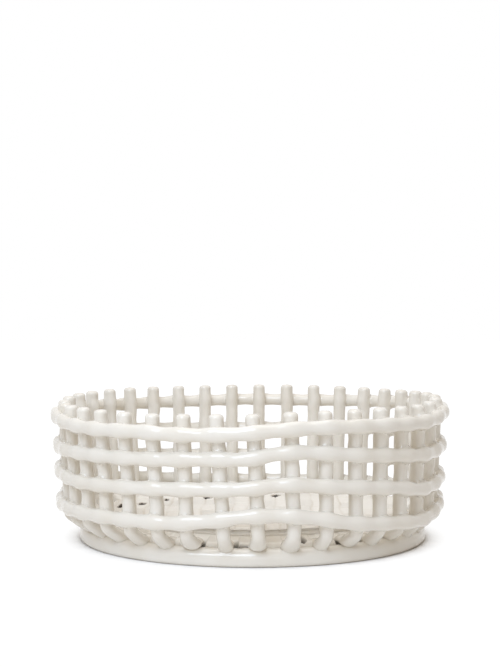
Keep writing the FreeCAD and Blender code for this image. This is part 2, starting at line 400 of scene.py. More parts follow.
# %% [markdown]
# The frame is the only source of sizes. A helper reads the corners of a construction piece, and another
# sorts the corners of a round piece into the stations at which its section was drawn: they come in groups
# that share an angle about the basket's axis.

# %% Read the construction pieces
def corners_of(name):
    """Every corner of a construction piece, once."""
    return np.unique(places_of(frame["nodes"][name].data).round(6), axis=0)


def degrees_of(places):
    """Angle from the front, towards +X, of one place or many."""
    return np.degrees(np.arctan2(places[..., 0], -places[..., 1]))


def polar(radius, degrees, height):
    angle = math.radians(degrees)
    return np.array([radius * math.sin(angle), -radius * math.cos(angle), height])


STATION_GAP_DEGREES = 0.45
POST_PAIR_DEGREES = 2.4


def stations_of(name):
    """Middle, half height and half depth of a hoop's sections, in order round the basket."""
    places = corners_of(name)
    degrees = degrees_of(places) % 360
    order = np.argsort(degrees)
    cuts = np.flatnonzero(np.diff(degrees[order]) > STATION_GAP_DEGREES) + 1
    stations = []
    for group in np.split(places[order], cuts):
        by_height = group[np.argsort(group[:, 2])]
        by_reach = group[np.argsort(np.hypot(group[:, 0], group[:, 1]))]
        up = (by_height[-2:].mean(0) - by_height[:2].mean(0)) / 2
        out = (by_reach[-2:].mean(0) - by_reach[:2].mean(0)) / 2
        stations.append((group.mean(0), up, out))
    return stations


rim_stations = stations_of("rim_hoop")
print("rim hoop:", len(rim_stations), "stations read")

# %% [markdown]
# The glaze is a glossy warm white. On the real piece it is not one flat colour: it is a little deeper where
# it pools, it shows the buff body where it thins, and it holds tiny pinholes and a few specks of iron. Such
# marks are needed by the glazed pieces and by the scored clay alike, so they are two shader groups. They put
# out masks and heights, and each material decides what to do with them.

# %% Shader groups: kiln marks and uneven tone
SMALLEST_MARK = 0.3
TONE_DETAIL = 3.0


def object_place(tree):
    """Where each point of a piece lies, which a pattern follows."""
    return add_node(tree, "ShaderNodeTexCoord").outputs["Object"]


def kiln_marks_group():
    inputs = {"Scale": 150.0, "Share": 0.1, "Size": 0.1}
    tree, inside, outside = new_tree("Kiln marks", "ShaderNodeTree", inputs, {"Mark": "Float"})
    inputs = {"Vector": object_place(tree), "Scale": inside["Scale"]}
    cells = add_node(tree, "ShaderNodeTexVoronoi", inputs).outputs
    chance = add_node(tree, "ShaderNodeSeparateColor", {"Color": cells["Color"]}).outputs
    chosen = maths("LESS_THAN", chance[0], inside["Share"])
    radius = times(inside["Size"], plus(chance[1], SMALLEST_MARK))
    dot = ranged(cells["Distance"], radius, 0.0, kind="SMOOTHSTEP")
    feed(outside["Mark"], times(dot, chosen))
    return tree


def uneven_group():
    inputs = {"Broad Scale": 25.0, "Fine Scale": 160.0}
    outputs = {"Broad": "Float", "Fine": "Float"}
    tree, inside, outside = new_tree("Uneven tone", "ShaderNodeTree", inputs, outputs)
    place = object_place(tree)
    for label in outputs:
        inputs = {"Vector": place, "Scale": inside[label + " Scale"], "Detail": TONE_DETAIL}
        feed(outside[label], result(tree, "ShaderNodeTexNoise", inputs))
    return tree


MARKS = kiln_marks_group()
UNEVEN = uneven_group()
print("groups:", MARKS.name, "and", UNEVEN.name)

# %% [markdown]
# The glaze material mixes its colours one after another. The body colour carries most of the surface. The
# pool attribute brings in a slightly deeper tone in the hollows, where the glaze is thickest. A broad noise
# lets the buff body show through here and there. The pinholes are drawn as a bump, and the iron specks as
# colour. The foot has the same glaze, but it was wiped off below, so its material fades to bare clay there.
# On the floor the glaze is painted lighter, a painted light that stands in for light the floor doesn't get,
# and its holes and cracks are painted near black as shade: the attribute hollow says where.

# %% The glaze
GLAZE = (0.81, 0.77, 0.695, 1)
POOLED_GLAZE = (0.75, 0.70, 0.61, 1)
SHY_GLAZE = (0.785, 0.735, 0.645, 1)
# Painted light: the floor's glaze is a lighter copy of the body colour, for light that the floor doesn't get.
FLOOR_GLAZE_PAINTED_LIGHT = (0.865, 0.84, 0.78, 1)
IRON = (0.25, 0.2, 0.15, 1)
BARE_CLAY = (0.62, 0.55, 0.45, 1)
# Painted shade: a near-black colour that stands in for the shade inside holes and cracks.
PAINTED_GAP_SHADE = (0.06, 0.045, 0.03, 1)
SHY_RANGE = (0.45, 0.75)
SPECK_SHARE = 0.55
PINHOLE_SHARE = 0.25
POOL_SHARE = 1.6
GLAZE_ROUGHNESS = (0.02, 0.045)
BARE_ROUGHNESS = 0.85
GAP_ROUGHNESS = 0.8
RIPPLE = 0.35
FINE_RANGE = (0.3, 0.7)
WIPED_HEIGHT = 0.5 * MM
WIPED_FADE = 1.6
MIX_COLOUR_A, MIX_COLOUR_B, MIX_COLOUR_OUT = 6, 7, 2


def mixed(share, first, second):
    """Two colours mixed by a share."""
    node = add_node(share.id_data, "ShaderNodeMix", {"Factor": share}, data_type="RGBA")
    feed(node.inputs[MIX_COLOUR_A], first)
    feed(node.inputs[MIX_COLOUR_B], second)
    return node.outputs[MIX_COLOUR_OUT]


def carried(tree, name):
    """A number that each point of a piece carries under a name."""
    return add_node(tree, "ShaderNodeAttribute", attribute_name=name).outputs["Fac"]


def new_material(name):
    """A material, its tree and its main shader."""
    material = bpy.data.materials.new(name)
    material.use_nodes = True
    return material, material.node_tree, material.node_tree.nodes["Principled BSDF"]


def dress(shader, colour, rough, height, strength, depth, ior):
    """Feeds a material's main shader, with a bump made of the height."""
    inputs = {"Height": height, "Strength": strength, "Distance": depth}
    bump = result(height.id_data, "ShaderNodeBump", inputs)
    for name, value in {"Base Color": colour, "Roughness": rough, "Normal": bump, "IOR": ior}.items():
        feed(shader.inputs[name], value)


def glaze_material(name, body=GLAZE, wiped=False):
    material, tree, shader = new_material(name)
    tone = group_node(tree, UNEVEN, {"Broad Scale": 30.0, "Fine Scale": 240.0})
    specks = group_node(tree, MARKS, {"Scale": 110.0, "Share": 0.035, "Size": 0.05})[0]
    pinholes = group_node(tree, MARKS, {"Scale": 210.0, "Share": 0.06, "Size": 0.11})[0]
    pool = maths("MINIMUM", times(carried(tree, "pool"), POOL_SHARE), 1.0)
    colour = mixed(ranged(tone["Broad"], *SHY_RANGE), body, SHY_GLAZE)
    colour = mixed(pool, colour, POOLED_GLAZE)
    colour = mixed(times(specks, SPECK_SHARE), colour, IRON)
    colour = mixed(times(pinholes, PINHOLE_SHARE), colour, POOLED_GLAZE)
    rough = ranged(tone["Fine"], *FINE_RANGE, *GLAZE_ROUGHNESS)
    if wiped:
        level = add_node(tree, "ShaderNodeSeparateXYZ", {"Vector": object_place(tree)}).outputs["Z"]
        bare = ranged(level, WIPED_HEIGHT * WIPED_FADE, WIPED_HEIGHT)
        colour = mixed(bare, colour, BARE_CLAY)
        rough = maths("MAXIMUM", rough, times(bare, BARE_ROUGHNESS))
    # Painted shade: the floor's holes and cracks are coloured near black, for the shade inside them.
    hollow = carried(tree, "hollow")
    colour = mixed(hollow, colour, PAINTED_GAP_SHADE)
    rough = maths("MAXIMUM", rough, times(hollow, GAP_ROUGHNESS))
    height = minus(times(tone["Fine"], RIPPLE), pinholes)
    dress(shader, colour, rough, height, strength=0.2, depth=0.12 * MM, ior=1.52)
    return material


glaze = glaze_material("glaze")
foot_glaze = glaze_material("foot glaze", wiped=True)
# Painted light: the floor's glaze is painted lighter than the rest.
floor_glaze_painted_light = glaze_material("floor glaze", body=FLOOR_GLAZE_PAINTED_LIGHT)
print("materials:", glaze.name, foot_glaze.name, floor_glaze_painted_light.name)

# %% [markdown]
# The mat in the middle of the floor is drier. Its cream glaze is thin, so the material is rougher than the
# glaze. It has a warmer tone along the scores and tears, and its holes are painted near black as shade.

# %% The scored clay
SCORED_CLAY = (0.855, 0.82, 0.755, 1)
TORN_CLAY = (0.62, 0.54, 0.43, 1)
TORN_CONTRAST = 1.4
HOLE_SHADE_RANGE = (1.1, 1.5)
GRAIN_SHARE = 0.5
CLAY_ROUGHNESS = 0.42
ROUGHNESS_SPREAD = 0.2
COMB_PITCH = 1.9 * MM
COMB_ACROSS = (0.8, 0.6, 0.0)
COMB_WAVER = 6.0
COMB_HEIGHT = 0.6


def comb_marks(tree, waver):
    """Height of the fine slanting lines on the patches that were combed."""
    across = vectors("DOT_PRODUCT", object_place(tree), COMB_ACROSS)
    turns = plus(maths("DIVIDE", across, COMB_PITCH), times(waver, COMB_WAVER))
    return times(maths("SINE", times(turns, 2 * math.pi)), COMB_HEIGHT, carried(tree, "combed"))


def scored_material():
    material, tree, shader = new_material("scored clay")
    tone = group_node(tree, UNEVEN, {"Broad Scale": 45.0, "Fine Scale": 420.0})
    grains = group_node(tree, MARKS, {"Scale": 420.0, "Share": 0.3, "Size": 0.3})[0]
    torn = carried(tree, "torn")
    share = times(plus(tone["Fine"], 0.1), maths("POWER", torn, TORN_CONTRAST))
    colour = mixed(maths("MINIMUM", share, 1.0), SCORED_CLAY, TORN_CLAY)
    colour = mixed(times(grains, GRAIN_SHARE), colour, TORN_CLAY)
    # Painted shade: past one the share colours the mat's holes near black.
    colour = mixed(ranged(torn, *HOLE_SHADE_RANGE), colour, PAINTED_GAP_SHADE)
    rough = plus(times(tone["Broad"], ROUGHNESS_SPREAD), CLAY_ROUGHNESS)
    height = minus(tone["Fine"], times(grains, GRAIN_SHARE))
    height = plus(height, comb_marks(tree, tone["Broad"]))
    dress(shader, colour, rough, height, strength=0.7, depth=0.5 * MM, ior=1.48)
    return material


scored_clay = scored_material()
print("material:", scored_clay.name)

# %% [markdown]
# A hoop is one coil, pressed on to the posts from outside. At a post it bulges out and is squeezed taller;
# between two posts it sinks in a little and is rounder, which gives the hoop its row of soft beads. The
# construction model holds two sections at each post, on the edges of the flat where hoop and post meet,
# and one half way to the next. The pair becomes one station here, so that the stations are evenly spaced
# and the curve through them is calm. The coil keeps its full depth all the way and is sunk into the post.

# %% Lines for the hoops
def keep(mesh, label, values, kind="FLOAT", field="value"):
    """Stores a number or a vector for each point of a mesh under a name."""
    mesh.attributes.new(label, kind, "POINT").data.foreach_set(field, np.ravel(values))


def coil_line(name, places, wides, deeps, closed):
    """A bare line of points that carry the coil's half width and half depth."""
    count = len(places)
    edges = [(index, (index + 1) % count) for index in range(count if closed else count - 1)]
    mesh = bpy.data.meshes.new(name)
    mesh.from_pydata([tuple(place) for place in places], edges, [])
    keep(mesh, "wide", wides, "FLOAT_VECTOR", "vector")
    keep(mesh, "deep", deeps, "FLOAT_VECTOR", "vector")
    return new_object(name, mesh)


def calm_stations(name):
    """The hoop's stations, with the two at each post made one."""
    calm = []
    for station in stations_of(name):
        turned_by = degrees_of(station[0]) - degrees_of(calm[-1][0]) if calm else POST_PAIR_DEGREES
        if turned_by < POST_PAIR_DEGREES and len(calm[-1]) == 3:
            calm[-1] = tuple((old + new) / 2 for old, new in zip(calm[-1], station)) + (True,)
        else:
            calm.append(station)
    return calm


HOOP_HALF_DEPTH = 4.7 * MM
HOOP_TRIM = 0.1 * MM
HOOP_LUMPS = {"Lump Size": 16 * MM, "Lump Height": 0.4 * MM}
HOOPS = ["rim_hoop", "upper_hoop", "lower_hoop", "base_hoop"]


def hoop_piece(name, seed):
    places, wides, deeps = [], [], []
    for station in calm_stations(name):
        middle, up, out = station[:3]
        outwards = out / np.linalg.norm(out)
        reach = np.linalg.norm(out) - HOOP_TRIM
        places.append(middle + outwards * (reach - HOOP_HALF_DEPTH))
        wides.append(up * (1 - HOOP_TRIM / np.linalg.norm(up)))
        deeps.append(outwards * HOOP_HALF_DEPTH)
    piece = coil_line("glazed_" + name, places, wides, deeps, closed=True)
    run_tree(piece, COIL, {"Sides": 32, "Step": 0.9 * MM, **HOOP_LUMPS, "Seed": seed})
    return piece


hoops = {name: hoop_piece(name, 3.1 * number) for number, name in enumerate(HOOPS)}
settle(list(hoops.values()))
for name, piece in hoops.items():
    print(name, len(piece.data.vertices), "points, volume", round(volume(piece.data) * 1e6, 1), "cubic cm")

# %% [markdown]
# A post is a straight coil that leans out slightly as it rises, ends in a flat dome, and turns in at the
# bottom to a broad knee that was pressed on the shoulder of the foot with a thumb. Behind the knee its tail
# runs on, over the foot and into a slot of the floor. The straight stretch is read from the level rings of
# corners of its construction piece. The knee hangs on the foot, so its places are worked out from the foot's
# own edge and top. Where a hoop presses on a post, the post is squeezed a little wider.

# %% Lines for the posts
POST_COUNT = 37
foot_low, foot_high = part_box("foot_ring")
FOOT_AXIS = (foot_low.x + foot_high.x) / 2
FOOT_RADIUS = (foot_high.x - foot_low.x) / 2
FOOT_TOP = foot_high.z
KNEE_INSET = 4.2 * MM
KNEE_RISE = 1.8 * MM
KNEE_WIDTH = 13.6 * MM
KNEE_DEPTH = 9.6 * MM
BEND_BULGE = 1.4 * MM
BEND_WIDTH = 12.2 * MM
TAIL_INSET = 8.6 * MM
TAIL_RISE = 1.6 * MM
TAIL_WIDTH = 12.4 * MM
TAIL_DEPTH = 7.6 * MM
END_INSET = 19 * MM
END_RISE = 0.4 * MM
END_SHARE = 0.86
GOLDEN_DEGREES = 137.5
UNEVEN_KNEE_SHARE = 0.12
LIFTED_KNEES = [1, 4, 6, 9, 12, 16, 19, 23, 26, 29, 31, 36]
LIFT = 0.9 * MM
POST_LUMPS = {"Lump Size": 11 * MM, "Lump Height": 0.25 * MM}
POST_STATION = 7 * MM
POST_TRIM = 0.05 * MM
POST_SWAY = 0.22 * MM
POST_FULLNESS = 1.04
WIDTH_CHANCE = 0.01
SAME_HEIGHT = 0.01 * MM
SQUEEZE_SHARE = 0.07
SQUEEZE_REACH = 5.5 * MM
TIP_DOME = 3 * MM
TIP_TRIM = 0.2 * MM


def level_rings(places):
    """Groups of eight corners that share a height, from the lowest up."""
    heights, counts = np.unique(places[:, 2].round(5), return_counts=True)
    return [places[np.abs(places[:, 2] - height) < SAME_HEIGHT] for height in heights[counts == 8]]


hoop_tracks = []
for name in HOOPS:
    track = np.array([station[0] for station in calm_stations(name)])
    order = np.argsort(degrees_of(track))
    hoop_tracks.append((degrees_of(track)[order], track[order, 2]))


def squeezed(degrees, height):
    """How much wider a post is at a height, where hoops press on it."""
    share = 0
    for angles, heights in hoop_tracks:
        hoop_height = np.interp(degrees, angles, heights, period=360)
        share += SQUEEZE_SHARE * math.exp(-(((height - hoop_height) / SQUEEZE_REACH) ** 2))
    return 1 + share


def knee_stations(degrees, low, width, number):
    """Places, widths and depths of a post's lower end, from its tail's tip to its straight stretch."""
    seat = FOOT_RADIUS + FOOT_AXIS * math.sin(math.radians(degrees))
    lift = LIFT if number in LIFTED_KNEES else 0
    knee_radius = seat - KNEE_INSET
    knee_height = FOOT_TOP + KNEE_RISE + lift
    bend_radius = (math.hypot(low[0], low[1]) + knee_radius) / 2 + BEND_BULGE
    breadth = 1 + UNEVEN_KNEE_SHARE * math.sin(math.radians(GOLDEN_DEGREES * (number - 1)))
    tail_height = FOOT_TOP + TAIL_RISE + lift
    tail_middle = (2 * seat - END_INSET - TAIL_INSET) / 2
    tail_end = polar(seat - END_INSET, degrees, FOOT_TOP + END_RISE)
    return [
        (tail_end, TAIL_WIDTH * END_SHARE, TAIL_DEPTH * END_SHARE),
        (polar(tail_middle, degrees, tail_height), TAIL_WIDTH * 0.93, TAIL_DEPTH * 0.95),
        (polar(seat - TAIL_INSET, degrees, tail_height), TAIL_WIDTH * breadth, TAIL_DEPTH),
        (polar(knee_radius, degrees, knee_height), KNEE_WIDTH * breadth, KNEE_DEPTH),
        (polar(bend_radius, degrees, (low[2] + knee_height) / 2), BEND_WIDTH * breadth, KNEE_DEPTH),
        (low, width, width),
    ]


def post_piece(name, number):
    chance = np.random.default_rng(100 + number)
    rings = level_rings(corners_of(name))
    low, high = rings[0].mean(0), rings[-1].mean(0)
    degrees = float(degrees_of(low))
    width = np.ptp((rings[0] - low) @ polar(1, degrees + 90, 0))
    stations = knee_stations(degrees, low, width, number)
    straight = round((high[2] - low[2]) / POST_STATION)
    for step in range(1, straight + 1):
        place = low + (high - low) * (step / straight)
        place[2] -= TIP_TRIM if step == straight else 0
        wide = width * POST_FULLNESS * squeezed(degrees, place[2]) * (1 + chance.normal(0, WIDTH_CHANCE))
        sway = chance.normal(0, POST_SWAY, 3) * (1, 1, 0) if step < straight else 0
        stations.append((place + sway, wide, wide))
    places = np.array([station[0] for station in stations])
    tangents = np.gradient(places, axis=0)
    tangents /= np.linalg.norm(tangents, axis=1)[:, None]
    sideways = polar(1, float(degrees_of((low + high) / 2)) + 90, 0)
    wides = [sideways * (wide / 2 - POST_TRIM) for _, wide, _ in stations]
    outs = [np.cross(along, sideways) for along in tangents]
    deeps = [out * (deep / 2 - POST_TRIM) for out, (_, _, deep) in zip(outs, stations)]
    piece = coil_line("glazed_" + name, places, wides, deeps, closed=False)
    values = {"Sides": 28, "Step": 0.85 * MM, "Dome": TIP_DOME, **POST_LUMPS, "Seed": 20.0 + number}
    run_tree(piece, COIL, values)
    return piece


posts = {}
for number in range(1, POST_COUNT + 1):
    name = f"post_{number:02d}"
    posts[name] = post_piece(name, number)
settle(list(posts.values()))
print("posts:", len(posts), "of", len(posts["post_01"].data.vertices), "points")

# %% [markdown]
# The foot and the floor disc are turned shapes: a profile carried round an axis. Spinning it with numpy
# keeps the rings even, which the pooling tree needs, and the profile can be given as the few points that
# its shape has, with its rounds worked out as arcs. The foot comes first. The disc lies on its ledge.

# %% The foot ring
def arc(radius_centre, height_centre, size, start, stop, steps):
    """Profile points on part of a circle, with its angles in degrees from straight out."""
    turns = np.radians(np.linspace(start, stop, steps + 1))
    return [(radius_centre + size * math.cos(turn), height_centre + size * math.sin(turn)) for turn in turns]


def filled(profile, step):
    """The same profile with points added, so that no two lie further apart than a step."""
    full = []
    for (r0, z0), (r1, z1) in zip(profile, profile[1:] + profile[:1]):
        count = max(1, math.ceil(math.hypot(r1 - r0, z1 - z0) / step))
        full += [(r0 + (r1 - r0) * k / count, z0 + (z1 - z0) * k / count) for k in range(count)]
    return full


def turned(name, profile, steps, axis_x):
    """A closed profile carried round an upright axis, with its doubles on the axis merged."""
    angles = np.linspace(0, 2 * math.pi, steps, endpoint=False)
    radius, height = np.array(profile).T
    x = axis_x + np.outer(np.sin(angles), radius)
    y = -np.outer(np.cos(angles), radius)
    places = np.stack([x, y, np.broadcast_to(height, x.shape)], axis=-1).reshape(-1, 3)
    number = np.arange(len(places)).reshape(x.shape)
    after, beside = np.roll(number, -1, axis=0), np.roll(number, -1, axis=1)
    faces = np.stack([number, after, np.roll(after, -1, axis=1), beside], axis=-1).reshape(-1, 4)
    mesh = bpy.data.meshes.new(name)
    mesh.from_pydata(places.tolist(), [], faces.tolist())
    shell = bmesh.new()
    shell.from_mesh(mesh)
    bmesh.ops.remove_doubles(shell, verts=shell.verts, dist=MERGE_DISTANCE)
    shell.to_mesh(mesh)
    shell.free()
    if volume(mesh) < 0:
        mesh.flip_normals()
    return new_object(name, mesh)


FOOT_EDGE = 3 * MM
FOOT_SHOULDER = 7.5 * MM
FOOT_LAND = 0.7 * MM
FOOT_WIDTH = 24 * MM
FOOT_STEPS = 900
FOOT_POINT_GAP = 1.5 * MM
SOFT_CORNER = 0.8 * MM
GROOVE_WIDTH = 12 * MM
GROOVE_FLOOR = 2 * MM
disc_low, disc_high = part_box("floor_disc")
foot_inner = FOOT_RADIUS - FOOT_WIDTH
LEDGE_RADIUS = FOOT_RADIUS - FOOT_SHOULDER - FOOT_LAND
foot_profile = arc(foot_inner + SOFT_CORNER, SOFT_CORNER, SOFT_CORNER, 180, 270, 3)
foot_profile += arc(FOOT_RADIUS - FOOT_EDGE, FOOT_EDGE, FOOT_EDGE, -90, 0, 6)
foot_profile += arc(FOOT_RADIUS - FOOT_SHOULDER, FOOT_TOP - FOOT_SHOULDER, FOOT_SHOULDER, 0, 90, 12)
foot_profile += arc(LEDGE_RADIUS + SOFT_CORNER, FOOT_TOP - SOFT_CORNER, SOFT_CORNER, 90, 180, 3)
foot_profile += [(LEDGE_RADIUS, GROOVE_FLOOR), (LEDGE_RADIUS - GROOVE_WIDTH, GROOVE_FLOOR)]
foot_profile += [(LEDGE_RADIUS - GROOVE_WIDTH, disc_low.z), (foot_inner, disc_low.z)]
foot = turned("glazed_foot", filled(foot_profile, FOOT_POINT_GAP), FOOT_STEPS, FOOT_AXIS)
run_tree(foot, LUMPS, {"Lump Size": 22 * MM, "Lump Height": 0.3 * MM, "Seed": 71.0})
settle([foot])
print("foot:", len(foot.data.vertices), "points, radius", round(FOOT_RADIUS / MM, 1), "mm")

# %% [markdown]
# The floor disc ends in thick, round-edged tongues, one between each two posts, and the tails of the posts
# lie in the slots between them. That outline is a turned disc whose outer band is drawn in towards the
# middle wherever a slot is. Most tongues are glazed on to the foot. Where one stayed short, or a slot was cut
# too wide, a black crack shows beside the knee. Here and there a small oval hole or a thin crack is sunk a
# little into the disc and painted near black inside, as painted shade.
# The disc rises a little towards the middle, which is sunk, because the mat of scored clay covers it.

# %% The floor disc
DISC_RADIUS = LEDGE_RADIUS + 0.2 * MM
DISC_STEPS = 1110
DISC_POINT_GAP = 1.6 * MM
DISC_NOSE = 4 * MM
DISC_UNDERCUT = 3 * MM
SINK_RADIUS = 117 * MM
SINK_HEIGHT = 1 * MM
DISC_RISE = 2.8 * MM
SLOT_DEPTH = 9 * MM
SLOT_HALF_WIDTH = 4.2 * MM
SLOT_FLAT = 0.78
SLOT_SIDE = 0.2
WIDE_SLOT = 9.8 * MM
WIDE_ON_THE_LEFT = [4, 5, 12, 21, 29]
WIDE_ON_THE_RIGHT = [9, 16, 25, 36, 37]
SHORT_TONGUES = {4: 2.4 * MM, 8: 3 * MM, 15: 2.4 * MM, 22: 4 * MM, 30: 2.5 * MM}
TONGUE_DEGREES = 6
NARROWEST_BAND = 2 * MM
HOLE_SOFTNESS = 2.2
FLOOR_HOLES = [(16.4, 127.5, 3.8, 8), (27.8, 131, 1.7, 3.4), (-3.6, 136, 5.8, 1.15), (-27.8, 130, 2.2, 6)]
FLOOR_HOLES += [(-38.9, 131, 2.2, 3), (78, 130, 3, 6), (118, 136, 5, 1.2), (171, 129, 3.4, 7)]
FLOOR_HOLES += [(-131, 136, 6, 1.2)]
nose_radius = DISC_RADIUS - DISC_NOSE
nose_height = disc_high.z - DISC_NOSE
sink_height = disc_low.z + SINK_HEIGHT
disc_rim = [(SINK_RADIUS, disc_low.z), (nose_radius - DISC_UNDERCUT, disc_low.z)]
disc_rim += arc(nose_radius, nose_height, DISC_NOSE, -70, 90, 10)
disc_rim += arc(SINK_RADIUS + SOFT_CORNER, disc_high.z + DISC_RISE - SOFT_CORNER, SOFT_CORNER, 90, 180, 3)
disc_rim += [(SINK_RADIUS, sink_height)]
disc_profile = [(0, disc_low.z), *filled(disc_rim, DISC_POINT_GAP), (0, sink_height)]
disc = turned("glazed_floor", disc_profile, DISC_STEPS, FOOT_AXIS)


def smooth_step(share):
    share = np.clip(share, 0, 1)
    return share * share * (3 - 2 * share)


def oval_hole(across, along, half_width, half_length):
    """How far points lie inside an oval hole, from 0 outside it to 1."""
    return smooth_step((1 - ((across / half_width) ** 2 + (along / half_length) ** 2)) * HOLE_SOFTNESS)


def turned_from(degrees, middle):
    """Angles counted from a middle one, from -180 to 180."""
    return (degrees - middle + 180) % 360 - 180


def disc_reach(degrees):
    """Radius of the disc's edge at each angle: full on the tongues, drawn in at the slots."""
    reach = np.full_like(degrees, DISC_RADIUS)
    for number in range(1, POST_COUNT + 1):
        foot_place = level_rings(corners_of(f"post_{number:02d}"))[0].mean(0)
        seat_place = polar(DISC_RADIUS, float(degrees_of(foot_place)), 0)
        apart = turned_from(degrees, float(degrees_of(seat_place - (FOOT_AXIS, 0, 0))))
        left = WIDE_SLOT if number in WIDE_ON_THE_LEFT else SLOT_HALF_WIDTH
        right = WIDE_SLOT if number in WIDE_ON_THE_RIGHT else SLOT_HALF_WIDTH
        beside = np.radians(np.abs(apart)) * DISC_RADIUS / np.where(apart < 0, left, right)
        reach -= SLOT_DEPTH * (1 - smooth_step((beside - SLOT_FLAT) / SLOT_SIDE))
        if number in SHORT_TONGUES:
            off_middle = np.abs(apart - 180 / POST_COUNT)
            reach -= SHORT_TONGUES[number] * smooth_step((TONGUE_DEGREES - off_middle) / 2) * (beside > 0.5)
    return np.maximum(reach, SINK_RADIUS + NARROWEST_BAND)


def scallop(piece):
    """Draws the disc's outer band in to its outline, sinks its holes, and keeps their painted-shade mask."""
    places = places_of(piece.data)
    x, y = places[:, 0] - FOOT_AXIS, places[:, 1]
    radius = np.hypot(x, y)
    reach = disc_reach(np.degrees(np.arctan2(x, -y)))
    fixed = SINK_RADIUS + SOFT_CORNER
    drawn_in = fixed + (radius - fixed) * (reach - fixed) / (DISC_RADIUS - fixed)
    moved = np.where(radius > fixed, drawn_in, radius)
    places[:, 0] = FOOT_AXIS + x * moved / np.maximum(radius, MERGE_DISTANCE)
    places[:, 1] = y * moved / np.maximum(radius, MERGE_DISTANCE)
    angles = np.degrees(np.arctan2(x, -places[:, 1]))
    hollow = np.zeros(len(places))
    for degrees, out, half_width, half_length in FLOOR_HOLES:
        across = np.radians(turned_from(angles, degrees)) * out
        hole = oval_hole(across, moved / MM - out, half_width, half_length)
        hollow = np.maximum(hollow, hole * (places[:, 2] > nose_height))
    places[:, 2] -= np.maximum(places[:, 2] - nose_height, 0) * hollow
    piece.data.vertices.foreach_set("co", places.ravel())
    # The same share later paints the holes and cracks near black, as painted shade.
    keep(piece.data, "hollow", hollow)
    piece.data.update()


scallop(disc)
run_tree(disc, LUMPS, {"Lump Size": 30 * MM, "Lump Height": 0.25 * MM, "Seed": 83.0})
settle([disc])
print("floor disc:", len(disc.data.vertices), "points")

# %% [markdown]
# The mat is laid from clay patches in columns that run from front to back. Each patch lies a little higher
# or lower than the next and is tilted a little. Along the seams the clay was scored and smeared together,
# which leaves short strokes like the barbs of a feather. In a few places near the edge the patches don't
# meet and a hole is left. The mat is a height over a square grid that is bent to a disc, so that the points
# stay evenly spaced. How deep a point lies in a score is kept as the attribute torn, which
# rises past one inside the holes and there paints them near black as shade. Whether a point's patch was
# combed is kept as the attribute combed. The patches lie on a lower sheet and stand out over it all round.

# %% The scored mat
MAT_GRID = 288
MAT_SEAMS = [-115, -101, -87.5, -69, -55, -41, -27, -15.5, -3.5, 8, 19, 34, 49.5, 61, 73, 88, 103]
MAT_SEAMS = np.array(MAT_SEAMS) * MM
MAT_ROW = 29 * MM
MAT_RISE = 6.0 * MM
MAT_LEAN = 11 * MM
MAT_LEAN_DEGREES = 122
MAT_LEAN_WIDTH = 48
MAT_FULLNESS = 0.985
MAT_WANDER = [(5, 0.6, 0.006), (11, 2.0, 0.005), (23, 0.0, 0.004)]
MAT_SIDE = [(0.3, -1.4), (0.8, -2.0), (1.3, -2.8), (1.3, -3.8), (0.6, -4.3), (0.3, -4.8), (0.6, -7.3)]
MAT_HOLES = [(-110, -6, 2.8, 13), (-93, 5, 3.8, 10), (-74, 28, 2.6, 9)]
MAT_HOLES += [(-38.6, 40, 4.6, 8), (20.5, 54, 4.4, 9)]
HOLE_DEPTH = 4.8 * MM
HOLE_DARKNESS = 8
DARKEST_HOLE = 2
PATCH_STEP = 0.35 * MM
PATCH_TILT = 0.02
PATCH_SLOPE = 0.018
PATCHY_WAVE = 17 * MM
COMBED_OVER = 0.2
SEAM_WIDTH = 0.9 * MM
SEAM_DEPTH = 0.9 * MM
SEAM_SWAY = 1.1 * MM
ROW_SWAY = 1.5 * MM
BARB_STEP = 4.6 * MM
BARB_LENGTH = 6.5 * MM
BARB_DEPTH = 0.6 * MM
BARB_WIDTH = 0.8 * MM
MAT_EDGE = 1.8 * MM
MAT_TOP_INSET = 0.7 * MM
mat_low, mat_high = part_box("floor_pad")
MAT_RADIUS = (mat_high.x - mat_low.x) / 2


def valley(distance, width):
    """One in the middle of a groove, and nothing beyond its width."""
    return np.exp(-((distance / width) ** 2))


